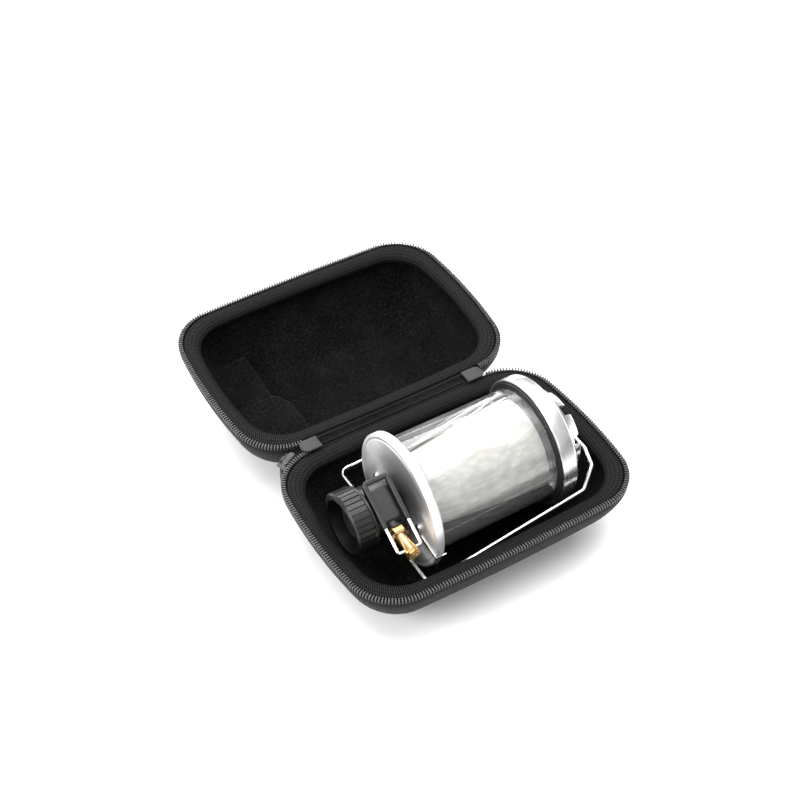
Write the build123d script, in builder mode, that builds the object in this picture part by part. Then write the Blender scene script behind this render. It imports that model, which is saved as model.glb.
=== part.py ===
from build123d import *
import os
from math import atan2, cos, radians, sin

os.makedirs("parts", exist_ok=True)

# A small gas lantern lying in its open hard case. Millimetres, +Z up, the case's base standing on Z = 0,
# the zip hinge along X over the origin, the base towards -Y and the open lid towards +Y.

# Case outline along the zip: a rounded rectangle whose sides bow outwards a little
case_length = 142.0
case_width = 100.0
end_bow = 4.7
side_bow = 1.5
corner_radius = 23.4
corner_shrink = 0.45  # how fast the corners tighten as the wall goes in

# Case walls, measured down from the zip line
base_depth = 37.0
lid_depth = 39.1
lip_depth = 4.0  # the wall is upright this far, then curves in
bottom_inset = 31.0
bowl_power = 1.587  # fullness of the curved wall
wall_angles = (14, 30, 45, 59, 71, 81, 90)  # stations round the curved wall, degrees
shell_top = 2.2  # the moulded shell ends this far under the zip line
base_shell_wall = 3.5
lid_shell_wall = 2.5
glue_gap = 0.1
lining_wall = 1.4
lid_lining_wall = 0.9

# Rim: ribbed tape inside the line of teeth
tape_outer = 1.9
tape_inner = 9.2
tape_top = 0.4
tape_round = 0.8
teeth_outer = -0.3
teeth_inner = 1.7
teeth_gap = 100.0  # length of the hinge side that has no teeth

# Hinge
half_pitch = 53.5  # hinge axis to the middle of either half
hinge_rise = 0.3  # hinge axis above both zip lines
lid_tilt = 3.6  # the open lid stops this far short of flat, degrees
hinge_height = base_depth + hinge_rise

base_plane = Plane(origin=(0, -half_pitch, base_depth))
lid_up = Vector(0, -sin(radians(lid_tilt)), cos(radians(lid_tilt)))
lid_out = Vector(0, cos(radians(lid_tilt)), sin(radians(lid_tilt)))
lid_middle = Vector(0, 0, hinge_height) + lid_out * half_pitch - lid_up * hinge_rise
lid_plane = Plane(origin=lid_middle, x_dir=(1, 0, 0), z_dir=lid_up)

# Lantern: every turned piece shares one axis, along X, and its places are X coordinates
axis_height = base_depth + 1.4
axis_y = -half_pitch
fit = 0.05  # radial clearance of pieces that seat in each other
collar_x = -61.1
collar_end = -51.2
collar_r = 16.2
collar_bore = 13.2
rib_count = 36
flange_end = -50.2
flange_r = 15.4
flange_edge = 0.3
insert_x = -56.6
insert_end = -48.6
insert_r = 7.1
thread_r = 5.2
body_end = -35.4
body_r = 13.6
neck_end = -31.6
plate_r = 33.1
plate_thick = 1.2
plate_rim_end = -27.0
glass_r = 28.0
glass_wall = 2.1
glass_start = -28.8
glass_end = 38.0
gasket_end = 39.4
hood_r = 31.8
hood_sheet = 1.2
hood_start = 38.6
hood_end = 47.3
crown_r = 20.0
crown_foot_r = 29.4
crown_end = 57.5
foam_r = 20.6
foam_bore = 9.0
tube_r = 4.0
tube_start = -39.3
jet_r = 3.1
jet_start = -44.5
jet_end = -41.5
spindle_x = -41.9
spindle_pivot_y = -27.0  # from the lantern's axis
handle_half = 5.9
handle_wire_r = 0.85
handle_angle = 30.5
handle_reach = 34.8
bail_x = -40.0
bail_drop = -11.9  # from the lantern's axis
bail_r = 1.0
bail_half = 40.0
bail_slope = 4.7  # the bail rises this much towards the hood, degrees

turning_plane = Plane(origin=(0, axis_y, axis_height), x_dir=(1, 0, 0), z_dir=(0, -1, 0))
end_plane = Plane(origin=(0, axis_y, axis_height), x_dir=(0, 0, 1), z_dir=(1, 0, 0))
lantern_axis = Axis((0, axis_y, axis_height), (1, 0, 0))
side_plane = Plane(origin=(spindle_x, axis_y, axis_height), x_dir=(1, 0, 0), z_dir=(0, -1, 0))


def keep(build, name):
    build.part.label = name
    export_step(build.part, f"parts/{name}.step")


def case_outline(plane, inset):
    """The zip line's outline drawn in by an inset, on a plane."""
    half_x = case_length / 2 - inset
    half_y = case_width / 2 - inset
    with BuildSketch(plane) as shape:
        with BuildLine():
            ThreePointArc((-half_x, -half_y), (0, -half_y - side_bow), (half_x, -half_y))
            ThreePointArc((half_x, -half_y), (half_x + end_bow, 0), (half_x, half_y))
            ThreePointArc((half_x, half_y), (0, half_y + side_bow), (-half_x, half_y))
            ThreePointArc((-half_x, half_y), (-half_x - end_bow, 0), (-half_x, -half_y))
        make_face()
        fillet(shape.vertices(), corner_radius - corner_shrink * inset)
    return shape.sketch


def bowl(plane, depth, wall, top):
    """Sections of the case wall's inner face, a wall's thickness in from the outer one."""
    sections = [case_outline(plane.offset(-top), wall)]
    sections.append(case_outline(plane.offset(-lip_depth), wall))
    height = depth - lip_depth
    for station in wall_angles:
        angle = radians(station)
        inset = bottom_inset * (1 - cos(angle))
        drop = lip_depth + height * sin(angle) ** bowl_power
        rise = height * bowl_power * sin(angle) ** (bowl_power - 1) * cos(angle)
        slope = atan2(bottom_inset * sin(angle), rise)
        level = drop - wall * sin(slope)
        sections.append(case_outline(plane.offset(-level), inset + wall * cos(slope)))
    return sections


def turned(*points):
    """A closed profile of (X, radius) points, ready to revolve about the lantern's axis."""
    with BuildSketch(turning_plane) as profile:
        with BuildLine():
            Polyline(*points, close=True)
        make_face()
    return profile.sketch


# The two case halves, alike but for their depth and walls
halves = (
    ("base", base_plane, base_depth, base_shell_wall, lining_wall, 1),
    ("lid", lid_plane, lid_depth, lid_shell_wall, lid_lining_wall, -1),
)
for half, plane, depth, shell_wall, lining, hinge_side in halves:
    with BuildPart() as shell:
        loft(bowl(plane, depth, 0, shell_top))
        loft(bowl(plane, depth, shell_wall, -1), mode=Mode.SUBTRACT)
    keep(shell, f"{half}_shell")

    with BuildPart() as lining_skin:
        loft(bowl(plane, depth, shell_wall + glue_gap, shell_top))
        loft(bowl(plane, depth, shell_wall + glue_gap + lining, -1), mode=Mode.SUBTRACT)
    keep(lining_skin, f"{half}_lining")

    with BuildPart() as tape:
        extrude(case_outline(plane.offset(-shell_top), tape_outer), amount=shell_top - tape_top)
        extrude(
            case_outline(plane.offset(-shell_top), tape_inner),
            amount=shell_top,
            mode=Mode.SUBTRACT,
        )
        fillet(tape.faces().sort_by(Axis(plane.origin, plane.z_dir))[-1].edges(), tape_round)
    keep(tape, f"{half}_rim_tape")

    with BuildPart() as teeth:
        extrude(case_outline(plane.offset(-shell_top), teeth_outer), amount=shell_top)
        extrude(
            case_outline(plane.offset(-shell_top), teeth_inner),
            amount=shell_top,
            mode=Mode.SUBTRACT,
        )
        with BuildSketch(plane.offset(-shell_top)):
            with Locations((0, hinge_side * case_width / 2)):
                Rectangle(teeth_gap, case_width / 2)
        extrude(amount=shell_top, mode=Mode.SUBTRACT)
    keep(teeth, f"{half}_zip_teeth")

# Foam pad moulded into the lid: a low shelf over the valve end and a taller lobe beside the hinge
pad_wall = lid_shell_wall + lid_lining_wall + 2 * glue_gap
shelf_depth = 26.0
lobe_depth = 21.5
shelf_edge = -34.5
shelf_slant = 3.0
lobe_edge = -33.0
lobe_left = -60.0
lobe_near = 12.0
lobe_far = 54.0
lobe_round = 9.0
with BuildPart() as lid_pad:
    loft(bowl(lid_plane, lid_depth, pad_wall, shell_top))
    with BuildSketch(lid_plane):
        Rectangle(2 * case_length, 2 * case_width)
    extrude(amount=-lobe_depth, mode=Mode.SUBTRACT)
    with BuildSketch(lid_plane.offset(-lid_depth)) as beyond_shelf:
        with BuildLine():
            Polyline(
                (shelf_edge, case_width),
                (shelf_edge - shelf_slant, lobe_far - half_pitch),
                (lobe_edge, lobe_far - half_pitch - lobe_round),
                (lobe_edge, -case_width),
                (case_length, -case_width),
                (case_length, case_width),
                close=True,
            )
        make_face()
    extrude(amount=lid_depth, mode=Mode.SUBTRACT)
    with BuildSketch(lid_plane.offset(-shelf_depth)) as round_lobe:
        Rectangle(2 * case_length, 2 * case_width)
        with Locations(((lobe_left + lobe_edge) / 2, (lobe_near + lobe_far) / 2 - half_pitch)):
            RectangleRounded(
                lobe_edge - lobe_left, lobe_far - lobe_near, lobe_round, mode=Mode.SUBTRACT
            )
    extrude(amount=shelf_depth, mode=Mode.SUBTRACT)
keep(lid_pad, "lid_pad")

# Hinge: a fabric strip between the halves, and a sewn end patch over each end of the zip
strip_length = 84.0
strip_half_width = 1.7
strip_thick = 0.9
strip_top = base_depth - 0.6
with BuildPart() as hinge_strip:
    with BuildSketch(Plane.XY.offset(strip_top - strip_thick)):
        Rectangle(strip_length, 2 * strip_half_width)
    extrude(amount=strip_thick)
keep(hinge_strip, "hinge_strip")

patch_y = -1.0
patch_length = 10.0
patch_width = 7.6
patch_corner = 2.2
patch_thick = 1.1
patch_under = 37.25
patch_edge = 0.4
patch_places = (("left", -48.2), ("right", 44.3))
for side, patch_x in patch_places:
    with BuildPart() as patch:
        with BuildSketch(Plane.XY.offset(patch_under)) as patch_shape:
            with Locations((patch_x, patch_y)):
                Rectangle(patch_length, patch_width)
            chamfer(patch_shape.vertices(), patch_corner)
        extrude(amount=patch_thick)
        fillet(patch.faces().sort_by(Axis.Z)[-1].edges(), patch_edge)
    keep(patch, f"hinge_patch_{side}")

# Zip slider, hanging outside the base's teeth at the left end of the zip, and its pull
slider_heading = 118.0  # direction the slider faces, degrees from +X
slider_point = Vector(-58.9, -5.9, base_depth)
slider_face = Vector(cos(radians(slider_heading)), sin(radians(slider_heading)), 0)
slider_plane = Plane(origin=slider_point, x_dir=slider_face, z_dir=(0, 0, 1))
slider_near = 2.2
slider_width = 3.2
slider_length = 8.4
slider_drop = 5.2
slider_top = 0.2
eye_drop = 3.4  # eye of the pull under the zip line
eye_out = 7.0  # and outside it
pull_half_width = 2.5
pull_length = 20.0
pull_thick = 1.2
pull_neck = 1.9
pull_shoulder = 6.0
pull_round = 0.8
pull_play = 0.25
pin_r = 0.7
eye_r = 1.3
ear_length = 3.2
ear_thick = 1.2
ear_high = 1.8
ear_side = pull_half_width + 0.9
slider_round = 1.4
slider_edge = 0.5
with BuildPart() as slider:
    with BuildSketch(slider_plane.offset(slider_top - slider_drop)):
        with Locations((slider_near + slider_width / 2, 0)):
            RectangleRounded(slider_width, slider_length, slider_round)
    extrude(amount=slider_drop)
    fillet(slider.faces().sort_by(Axis.Z)[-1].edges(), slider_edge)
    with BuildSketch(slider_plane.offset(-eye_drop - ear_high / 2)):
        with Locations(*((eye_out - ear_length / 4, side * ear_side) for side in (-1, 1))):
            Rectangle(ear_length, ear_thick)
    extrude(amount=ear_high)
    with BuildSketch(Plane(origin=slider_plane.from_local_coords((eye_out, 0, -eye_drop)),
                           x_dir=slider_face, z_dir=slider_plane.y_dir)):
        Circle(pin_r)
    extrude(amount=ear_side, both=True)
keep(slider, "zip_slider")

pull_plane = Plane(
    origin=slider_plane.from_local_coords((eye_out, 0, -eye_drop)),
    x_dir=-slider_plane.y_dir,
    z_dir=slider_face,
)
with BuildPart() as pull:
    with BuildSketch(pull_plane.offset(-pull_thick / 2)) as pull_shape:
        with BuildLine():
            Polyline(
                (-pull_neck, -pull_neck),
                (pull_neck, -pull_neck),
                (pull_neck, pull_neck),
                (pull_half_width, pull_shoulder),
                (pull_half_width, pull_length),
                (-pull_half_width, pull_length),
                (-pull_half_width, pull_shoulder),
                (-pull_neck, pull_neck),
                close=True,
            )
        make_face()
        fillet(pull_shape.vertices(), pull_round)
    extrude(amount=pull_thick)
    with BuildSketch(Plane(origin=pull_plane.origin, x_dir=slider_face, z_dir=slider_plane.y_dir)):
        Circle(eye_r)
    extrude(amount=eye_r, both=True)
    with BuildSketch(Plane(origin=pull_plane.origin, x_dir=slider_face, z_dir=slider_plane.y_dir)):
        Circle(pin_r + pull_play)
    extrude(amount=pull_half_width, both=True, mode=Mode.SUBTRACT)
keep(pull, "zip_pull")

# Collar that screws on to the cartridge: a ribbed cup with a hollow front
rib_width = 0.6
rib_depth = 0.7
collar_floor = -54.0
collar_edge = 0.8
with BuildPart(end_plane) as collar:
    revolve(
        turned(
            (collar_x, collar_bore),
            (collar_x, collar_r - collar_edge),
            (collar_x + collar_edge, collar_r),
            (collar_end - collar_edge, collar_r),
            (collar_end, collar_r - collar_edge),
            (collar_end, insert_r + fit),
            (collar_floor, insert_r + fit),
            (collar_floor, collar_bore),
        ),
        axis=lantern_axis,
    )
    with PolarLocations(collar_r, rib_count):
        with Locations((0, 0, (collar_x + collar_end) / 2)):
            Box(2 * rib_depth, rib_width, collar_end - collar_x - 2 * collar_edge, mode=Mode.SUBTRACT)
keep(collar, "collar")

with BuildPart() as collar_flange:
    revolve(
        turned(
            (collar_end, insert_r + fit),
            (collar_end, flange_r - flange_edge),
            (collar_end + flange_edge, flange_r),
            (flange_end - flange_edge, flange_r),
            (flange_end, flange_r - flange_edge),
            (flange_end, insert_r + fit),
        ),
        axis=lantern_axis,
    )
keep(collar_flange, "collar_flange")

# Threaded insert that clamps the collar, and what seals and opens the cartridge behind it
insert_head_r = 9.0
insert_head = 1.5
seal_r = 4.3
seal_bore = 2.2
seal_end = -47.2
pin_tip = -48.5
pin_end = -44.6
inlet_pin_r = 1.2
pin_point = 0.4
pin_taper = 0.6
pin_head = 0.8
with BuildPart() as thread_insert:
    revolve(
        turned(
            (insert_x, thread_r),
            (insert_x, insert_r),
            (collar_floor - insert_head, insert_r),
            (collar_floor - insert_head, insert_head_r),
            (collar_floor, insert_head_r),
            (collar_floor, insert_r),
            (insert_end, insert_r),
            (insert_end, thread_r),
        ),
        axis=lantern_axis,
    )
keep(thread_insert, "thread_insert")

with BuildPart() as inlet_seal:
    revolve(
        turned(
            (insert_end + fit, seal_bore),
            (insert_end + fit, seal_r),
            (seal_end, seal_r),
            (seal_end, seal_bore),
        ),
        axis=lantern_axis,
    )
keep(inlet_seal, "inlet_seal")

with BuildPart() as inlet_pin:
    revolve(
        turned(
            (pin_tip, 0),
            (pin_tip, inlet_pin_r - pin_point),
            (pin_tip + pin_taper, inlet_pin_r),
            (pin_end - pin_head, inlet_pin_r),
            (pin_end - pin_head, seal_bore),
            (pin_end, seal_bore),
            (pin_end, 0),
        ),
        axis=lantern_axis,
    )
keep(inlet_pin, "inlet_pin")

# Valve body: a round block with a flat where the handle folds, a boss for the spindle and a lug for the bail
body_edge = 1.6
boss_r = 5.2
boss_end = 15.6
spindle_hole_r = 1.7
spindle_root = 8.6
flat_distance = 11.5
lug_half_x = 3.0
lug_half_y = 7.0
lug_low = -14.6
lug_high = -8.0
lug_hole_r = bail_r + 0.08
with BuildPart() as valve_body:
    revolve(
        turned(
            (flange_end, insert_r + fit),
            (flange_end, body_r - body_edge),
            (flange_end + body_edge / 3, body_r - body_edge / 3),
            (flange_end + body_edge, body_r),
            (body_end - body_edge, body_r),
            (body_end - body_edge / 3, body_r - body_edge / 3),
            (body_end, body_r - body_edge),
            (body_end, tube_r + fit),
            (tube_start - fit, tube_r + fit),
            (tube_start - fit, jet_r + fit),
            (pin_end + fit, jet_r + fit),
            (pin_end + fit, seal_r + fit),
            (insert_end + fit, seal_r + fit),
            (insert_end + fit, insert_r + fit),
        ),
        axis=lantern_axis,
    )
    with BuildSketch(Plane(turning_plane.origin, x_dir=(1, 0, 0), z_dir=(0, 0, -1)).offset(-lug_high)):
        with Locations((bail_x, 0)):
            Rectangle(2 * lug_half_x, 2 * lug_half_y)
    extrude(amount=lug_high - lug_low)
    flat_up = Vector(0, -sin(radians(handle_angle)), cos(radians(handle_angle)))
    with BuildSketch(Plane(turning_plane.origin + flat_up * flat_distance, x_dir=(1, 0, 0), z_dir=flat_up)):
        with Locations(((flange_end + body_end) / 2, 0)):
            Rectangle(body_end - flange_end + 1, 2 * body_r)
    extrude(amount=body_r, mode=Mode.SUBTRACT)
    with BuildSketch(side_plane.offset(spindle_root)):
        Circle(boss_r)
    extrude(amount=boss_end - spindle_root)
    with BuildSketch(side_plane.offset(spindle_root)):
        Circle(spindle_hole_r)
    extrude(amount=boss_end, mode=Mode.SUBTRACT)
    with BuildSketch(Plane(turning_plane.origin + Vector(bail_x, 0, bail_drop), z_dir=(0, 1, 0))):
        Circle(lug_hole_r)
    extrude(amount=body_r, both=True, mode=Mode.SUBTRACT)
keep(valve_body, "valve_body")

# Brass packing nut and valve spindle on the body's -Y side; the handle's ends sit in the spindle's cross hole
nut_r = 4.2
nut_end = 19.0
stem_r = 1.62
stem_root = 9.2
barrel_start = 19.3
barrel_r = 3.1
barrel_end = 28.8
spindle_end = 31.0
spindle_across = 6.4
spindle_play = 0.08
cross_hole_r = handle_wire_r + spindle_play
nut_edge = 0.8
spindle_edge = 0.4
with BuildPart() as packing_nut:
    with BuildSketch(side_plane.offset(boss_end)):
        RegularPolygon(nut_r, 6, major_radius=False)
        Circle(stem_r + fit, mode=Mode.SUBTRACT)
    extrude(amount=nut_end - boss_end)
    chamfer(packing_nut.faces().sort_by(Axis.Y)[0].outer_wire().edges(), nut_edge)
keep(packing_nut, "packing_nut")

with BuildPart() as valve_spindle:
    with BuildSketch(side_plane.offset(stem_root)):
        Circle(stem_r)
    extrude(amount=barrel_start - stem_root)
    with BuildSketch(side_plane.offset(barrel_start)):
        Circle(barrel_r)
    extrude(amount=barrel_end - barrel_start)
    with BuildSketch(side_plane.offset(barrel_end)):
        RegularPolygon(spindle_across / 2, 8, major_radius=False)
    extrude(amount=spindle_end - barrel_end)
    chamfer(valve_spindle.faces().sort_by(Axis.Y)[0].edges(), spindle_edge)
    with BuildSketch(
        Plane(side_plane.origin + Vector(0, spindle_pivot_y, 0), z_dir=(1, 0, 0))
    ):
        Circle(cross_hole_r)
    extrude(amount=barrel_r + 1, both=True, mode=Mode.SUBTRACT)
keep(valve_spindle, "valve_spindle")

# Folding handle: a wire loop hooked in the spindle, its far part in a moulded grip
hook_end = 0.7  # gap between the wire's two ends, each side of the spindle's middle
grip_start = 12.5
grip_width = 2.4
grip_thick = 2.4
grip_round = 2.8
grip_edge = 0.7
handle_bend = 1.2
handle_pivot = side_plane.origin + Vector(0, spindle_pivot_y, 0)
handle_plane = Plane(handle_pivot, x_dir=(1, 0, 0), z_dir=flat_up)
with BuildPart() as handle_wire:
    with BuildLine(handle_plane) as loop:
        FilletPolyline(
            (-hook_end, 0),
            (-handle_half, 0),
            (-handle_half, handle_reach),
            (handle_half, handle_reach),
            (handle_half, 0),
            (hook_end, 0),
            radius=handle_bend,
        )
    with BuildSketch(Plane(loop.line @ 0, z_dir=loop.line % 0)):
        Circle(handle_wire_r)
    sweep()
keep(handle_wire, "handle_wire")

with BuildPart() as handle_grip:
    with BuildSketch(handle_plane.offset(-grip_thick / 2)) as grip_shape:
        with Locations((0, (grip_start + handle_reach + grip_width / 2) / 2)):
            RectangleRounded(
                2 * handle_half + grip_width, handle_reach + grip_width / 2 - grip_start, grip_round
            )
        with Locations((0, grip_start)):
            Rectangle(2 * handle_half + grip_width, 2 * grip_round, align=(Align.CENTER, Align.MIN))
        with Locations((0, (grip_start + handle_reach - grip_width / 2) / 2)):
            Rectangle(
                2 * handle_half - grip_width, handle_reach - grip_width / 2 - grip_start, mode=Mode.SUBTRACT
            )
    extrude(amount=grip_thick)
    fillet(handle_grip.faces().sort_by(Axis(handle_pivot, flat_up))[-1].outer_wire().edges(), grip_edge)
    with BuildSketch(Plane(loop.line @ 0, z_dir=loop.line % 0)):
        Circle(handle_wire_r + fit)
    sweep(path=loop.line, mode=Mode.SUBTRACT)
keep(handle_grip, "handle_grip")

# Bail: one bent wire whose ends turn into the lug, passing round the hood
bail_end = 2.2
bail_bend = 4.0
bail_corners = ((88.0, 35.7), (99.8, 26.0), (103.6, 15.2))  # reach from the pivot, half width
bail_plane = Plane(
    origin=(bail_x, axis_y, axis_height + bail_drop),
    x_dir=(cos(radians(bail_slope)), 0, sin(radians(bail_slope))),
    z_dir=(-sin(radians(bail_slope)), 0, cos(radians(bail_slope))),
)
with BuildPart() as bail_wire:
    with BuildLine(bail_plane) as hoop:
        FilletPolyline(
            (0, -bail_end),
            (0, -bail_half),
            *((reach, -half) for reach, half in bail_corners),
            *((reach, half) for reach, half in reversed(bail_corners)),
            (0, bail_half),
            (0, bail_end),
            radius=bail_bend,
        )
    with BuildSketch(Plane(hoop.line @ 0, z_dir=hoop.line % 0)):
        Circle(bail_r)
    sweep()
keep(bail_wire, "bail_wire")

# Burner: jet, mixing tube, the neck that carries the plate, and the burner's head
tube_wall = 0.8
tube_end = -12.0
neck_r = 10.0
neck_small_r = 7.4
head_r = 6.4
head_end = -5.0
head_overlap = 4.0
head_edge = 1.5
neck_step = 0.9
with BuildPart() as burner_neck:
    revolve(
        turned(
            (body_end, tube_r + fit),
            (body_end, neck_r),
            (body_end + neck_step, neck_r),
            (neck_end, neck_small_r),
            (neck_end, tube_r + fit),
        ),
        axis=lantern_axis,
    )
keep(burner_neck, "burner_neck")

with BuildPart() as mixing_tube:
    revolve(
        turned(
            (tube_start, tube_r - tube_wall),
            (tube_start, tube_r),
            (tube_end, tube_r),
            (tube_end, tube_r - tube_wall),
        ),
        axis=lantern_axis,
    )
keep(mixing_tube, "mixing_tube")

with BuildPart() as burner_head:
    revolve(
        turned(
            (tube_end - head_overlap, tube_r + fit),
            (tube_end - head_overlap, head_r),
            (head_end - head_edge, head_r),
            (head_end, head_r - head_edge),
            (head_end, tube_r - tube_wall),
            (tube_end + fit, tube_r - tube_wall),
            (tube_end + fit, tube_r + fit),
        ),
        axis=lantern_axis,
    )
keep(burner_head, "burner_head")

# Base plate: a shallow polished dish, held to the neck, that takes the glass on a gasket
rivet_y = 18.5
rivet_r = 1.9
rivet_high = 1.1
rivet_shank_r = 0.9
rivet_edge = 0.4
plate_edge = 0.8
rim_edge = 0.4
rod_circle = 23.3
rod_r = 0.9
rod_headings = (160, 280)  # from straight up, turning towards -Y, degrees
gasket_r = 29.4
gasket_bore = 25.2
with BuildPart() as base_plate:
    revolve(
        turned(
            (neck_end, tube_r + fit),
            (neck_end, plate_r - plate_edge),
            (neck_end + plate_edge, plate_r),
            (plate_rim_end - rim_edge, plate_r),
            (plate_rim_end, plate_r - rim_edge),
            (plate_rim_end, plate_r - plate_thick),
            (neck_end + plate_thick, plate_r - plate_thick),
            (neck_end + plate_thick, tube_r + fit),
        ),
        axis=lantern_axis,
    )
    with BuildSketch(end_plane.offset(neck_end)):
        with Locations((0, rivet_y), (0, -rivet_y)):
            Circle(rivet_shank_r + fit)
    extrude(amount=plate_thick, mode=Mode.SUBTRACT)
keep(base_plate, "base_plate")

with BuildPart() as plate_rivets:
    with BuildSketch(end_plane.offset(neck_end - rivet_high)):
        with Locations((0, rivet_y), (0, -rivet_y)):
            Circle(rivet_r)
    extrude(amount=rivet_high)
    with BuildSketch(end_plane.offset(neck_end)):
        with Locations((0, rivet_y), (0, -rivet_y)):
            Circle(rivet_shank_r)
    extrude(amount=plate_thick)
    chamfer(plate_rivets.faces().sort_by(Axis.X)[:2].edges(), rivet_edge)
keep(plate_rivets, "plate_rivets")

# Spring clip that runs from one rivet out over the plate's rim
clip_width = 1.4
clip_thick = 0.4
clip_drop = 12.0  # heading of the clip below the horizontal, degrees
clip_start = 20.8
clip_tab = 5.6
clip_plane = Plane(
    origin=(neck_end - fit, axis_y, axis_height),
    x_dir=(0, -cos(radians(clip_drop)), -sin(radians(clip_drop))),
    z_dir=(-1, 0, 0),
)
with BuildPart() as plate_clip:
    with BuildSketch(clip_plane):
        with Locations(((clip_start + plate_r + 2 * clip_thick) / 2, 0)):
            Rectangle(plate_r + 2 * clip_thick - clip_start, clip_width)
    extrude(amount=clip_thick)
    with BuildSketch(clip_plane.offset(clip_thick)):
        with Locations((plate_r + 1.5 * clip_thick, 0)):
            Rectangle(clip_thick, clip_width)
    extrude(amount=-clip_tab)
keep(plate_clip, "plate_clip")

for name, start, end, outer in (
    ("lower_gasket", neck_end + plate_thick, glass_start, gasket_r),
    ("upper_gasket", glass_end, gasket_end, gasket_r + 1.0),
):
    with BuildPart() as gasket:
        revolve(
            turned((start, gasket_bore), (start, outer), (end, outer), (end, gasket_bore)),
            axis=lantern_axis,
        )
    keep(gasket, name)

glass_bore = glass_r - glass_wall
glass_edge = 0.3
with BuildPart() as glass:
    revolve(
        turned(
            (glass_start, glass_bore + glass_edge),
            (glass_start, glass_r - glass_edge),
            (glass_start + glass_edge, glass_r),
            (glass_end - glass_edge, glass_r),
            (glass_end, glass_r - glass_edge),
            (glass_end, glass_bore + glass_edge),
            (glass_end - glass_edge, glass_bore),
            (glass_start + glass_edge, glass_bore),
        ),
        axis=lantern_axis,
    )
keep(glass, "glass")

# Hood: a ring over the glass, a notched crown, and a vented baffle inside
hood_lip = 0.5
hood_edge = 1.0
hood_seat = 0.6  # the ring's groove outside the gasket
shoulder_x = 50.6
shoulder_r = 22.4
notch_count = 8
notch_width = 5.2
notch_deep = 4.2
crown_wall = 1.2
crown_edge = 1.0
crown_step = 0.9
cap_x = 55.2
cap_hole_r = 1.9
cap_clear = 0.6  # the cap's edge inside the crown's wall
notch_box = 7.0
notch_first = 20.0  # heading of the first notch, degrees
with BuildPart() as hood_ring:
    revolve(
        turned(
            (hood_start + hood_lip, hood_r - hood_sheet),
            (hood_start, hood_r - hood_sheet / 2),
            (hood_start + hood_lip, hood_r),
            (hood_end - hood_edge, hood_r),
            (hood_end, hood_r - hood_edge),
            (hood_end, gasket_bore),
            (gasket_end, gasket_bore),
            (gasket_end, gasket_r + hood_seat),
            (hood_end - hood_sheet, gasket_r + hood_seat),
            (hood_end - hood_sheet, hood_r - hood_sheet),
        ),
        axis=lantern_axis,
    )
keep(hood_ring, "hood_ring")

with BuildPart(end_plane) as hood_crown:
    revolve(
        turned(
            (hood_end, crown_foot_r - crown_wall),
            (hood_end, crown_foot_r),
            (hood_end + crown_step, crown_foot_r),
            (shoulder_x, shoulder_r),
            (crown_end - crown_edge, crown_r),
            (crown_end, crown_r - crown_edge),
            (crown_end, crown_r - crown_edge - crown_wall),
            (cap_x, crown_r - crown_edge - crown_wall),
            (cap_x, cap_hole_r),
            (cap_x - crown_wall, cap_hole_r),
            (cap_x - crown_wall, crown_r - cap_clear - crown_wall),
            (shoulder_x, shoulder_r - crown_wall),
        ),
        axis=lantern_axis,
    )
    with PolarLocations(crown_r, notch_count, start_angle=notch_first):
        with Locations((0, 0, crown_end - notch_deep / 2)):
            Box(notch_box, notch_width, notch_deep, mode=Mode.SUBTRACT)
keep(hood_crown, "hood_crown")

baffle_r = 24.6
baffle_x = 42.0
baffle_vents = 12
baffle_wall = 0.8
vent_circle = 15.0
vent_r = 2.2
with BuildPart(end_plane) as hood_baffle:
    revolve(
        turned(
            (baffle_x, 0),
            (baffle_x, baffle_r),
            (hood_end, baffle_r),
            (hood_end, baffle_r - baffle_wall),
            (baffle_x + baffle_wall, baffle_r - baffle_wall),
            (baffle_x + baffle_wall, 0),
        ),
        axis=lantern_axis,
    )
    with PolarLocations(vent_circle, baffle_vents):
        with Locations((0, 0, baffle_x + baffle_wall / 2)):
            Cylinder(vent_r, 2 * baffle_wall, mode=Mode.SUBTRACT)
keep(hood_baffle, "hood_baffle")

# Two stay rods tie the hood to the plate; a third, leaning rod carries the mantle
rod_start = neck_end + plate_thick
with BuildPart(end_plane) as stay_rods:
    for heading in rod_headings:
        rod_up = rod_circle * cos(radians(heading))
        rod_side = rod_circle * sin(radians(heading))
        with Locations((rod_up, rod_side, (rod_start + baffle_x) / 2)):
            Cylinder(rod_r, baffle_x - rod_start)
keep(stay_rods, "stay_rods")

holder_r = 0.8
holder_tip = 28.0
holder_bend = 0.9
holder_hook = 2.6
holder_lean = 0.6
holder_foot = (12.4, 18.8)  # from the lantern's axis, along Y and Z
holder_head = (16.4, 18.0)
with BuildPart() as mantle_rod:
    with BuildLine() as holder_path:
        FilletPolyline(
            (rod_start + fit, axis_y + holder_foot[0], axis_height + holder_foot[1]),
            (holder_tip, axis_y + holder_head[0], axis_height + holder_head[1]),
            (
                holder_tip,
                axis_y + holder_head[0] - holder_lean,
                axis_height + holder_head[1] - holder_hook,
            ),
            radius=holder_bend,
        )
    with BuildSketch(Plane(holder_path.line @ 0, z_dir=holder_path.line % 0)):
        Circle(holder_r)
    sweep()
keep(mantle_rod, "mantle_rod")

foam_start = rod_start + 0.2
foam_end = 36.0
foam_round = 1.2
with BuildPart() as foam_sleeve:
    revolve(
        turned((foam_start, foam_bore), (foam_start, foam_r), (foam_end, foam_r), (foam_end, foam_bore)),
        axis=lantern_axis,
    )
    fillet(foam_sleeve.edges().filter_by(GeomType.CIRCLE).sort_by(SortBy.RADIUS)[-2:], foam_round)
keep(foam_sleeve, "foam_sleeve")

jet_hole_r = 0.3
jet_tip_r = 1.4
jet_nose = 1.0
with BuildPart() as gas_jet:
    revolve(
        turned(
            (jet_start, jet_hole_r),
            (jet_start, jet_r),
            (jet_end - jet_nose, jet_r),
            (jet_end, jet_tip_r),
            (jet_end, jet_hole_r),
        ),
        axis=lantern_axis,
    )
keep(gas_jet, "gas_jet")
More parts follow.
